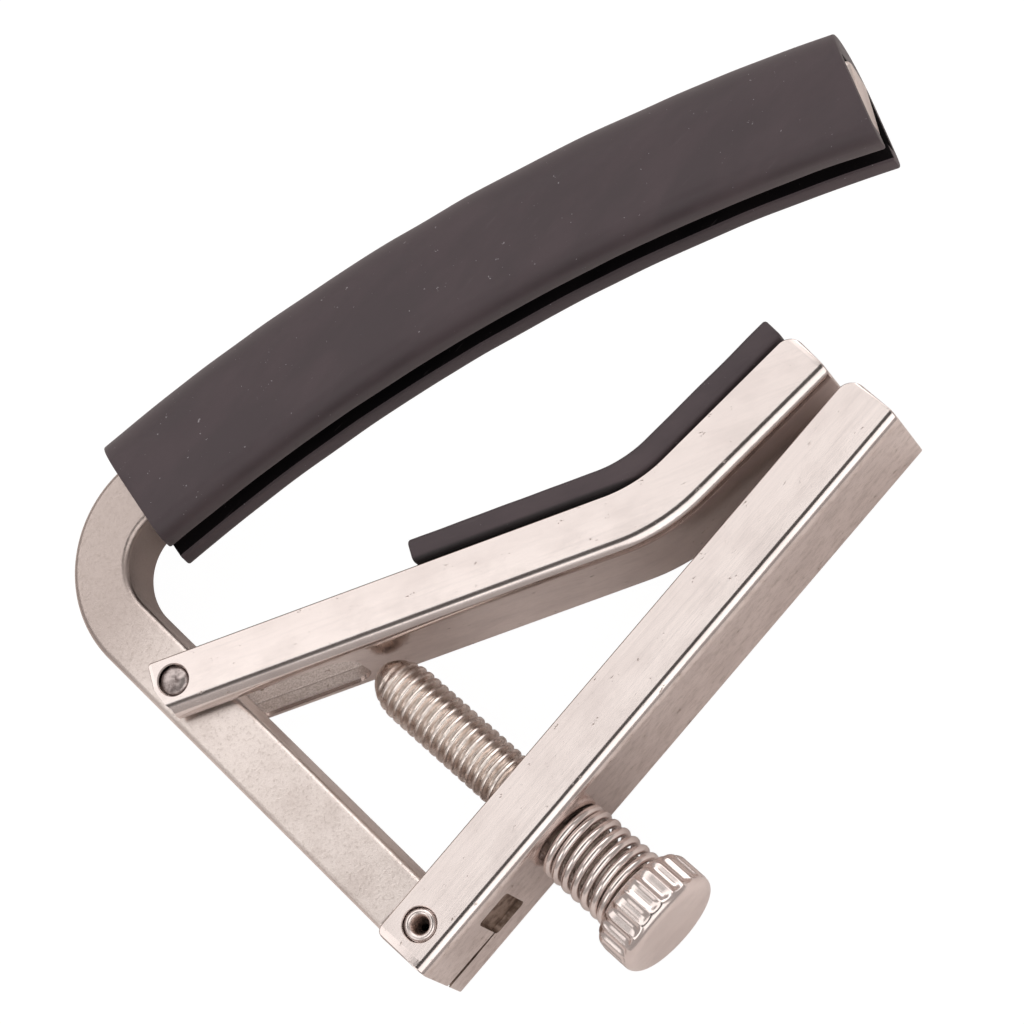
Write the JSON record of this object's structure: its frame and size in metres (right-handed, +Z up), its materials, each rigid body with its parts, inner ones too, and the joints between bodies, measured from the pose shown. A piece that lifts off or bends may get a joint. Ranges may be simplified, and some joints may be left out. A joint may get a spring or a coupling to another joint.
{
  "type": "guitar capo",
  "caption": "Guitar capo with a rubber-sleeved bent bar, a padded lower arm and a locking lever set by a sprung thumbscrew.",
  "frame": {"origin": "centre of the bounding box at its bottom, on the surface the capo lies on", "axes": "+X from the pivots towards the open ends of the lever and the arm, +Y from the lever towards the sleeved bar, +Z up out of the plane in which the lever and the arm swing"},
  "size_m": [0.0742, 0.0616, 0.01],
  "materials": {
    "cast_nickel": "satin nickel plate, finely speckled",
    "nickel_plate": "polished nickel plate with fine scratches",
    "tarnished_steel": "worn plate, slightly brown",
    "black_rubber": "matt, faintly dusty"
  },
  "bodies": {
    "frame": {"hook_frame": "cast_nickel", "bar_sleeve": "black_rubber", "arm_pivot_pin": "tarnished_steel", "lever_pivot_rivet": "nickel_plate"},
    "arm": {"pad_arm": "nickel_plate", "neck_pad": "black_rubber"},
    "lever": {"lever": "nickel_plate", "nut_insert": "nickel_plate"},
    "screw_slide": {"tension_spring": "nickel_plate"},
    "screw": {"adjusting_screw": "tarnished_steel", "screw_knob": "nickel_plate"}
  },
  "joints": [
    {"name": "lever_pivot", "type": "hinge", "parent": "frame", "child": "lever", "pos_m": [-0.03444, -0.01743, 0.005], "axis": [0, 0, 1], "range_deg": [-75, 0]},
    {"name": "arm_pivot", "type": "hinge", "parent": "frame", "child": "arm", "pos_m": [-0.03444, 0.01091, 0.005], "axis": [0, 0, 1], "range_deg": [-15, 0]},
    {"name": "screw_travel", "type": "slide", "parent": "lever", "child": "screw_slide", "axis": [0.0349, -0.9994, 0], "range_m": [0, 0.0035]},
    {"name": "knob_spin", "type": "hinge", "parent": "screw_slide", "child": "screw", "pos_m": [-0.0224, -0.01701, 0.005], "axis": [0.0349, -0.9994, 0], "range_deg": [0, 1587.5]}
  ],
  "couplings": [
    {"joint": "arm_pivot", "follows": "lever_pivot", "ratio": 0.2},
    {"joint": "knob_spin", "follows": "screw_travel", "rad_per_m": 7915.6}
  ]
}
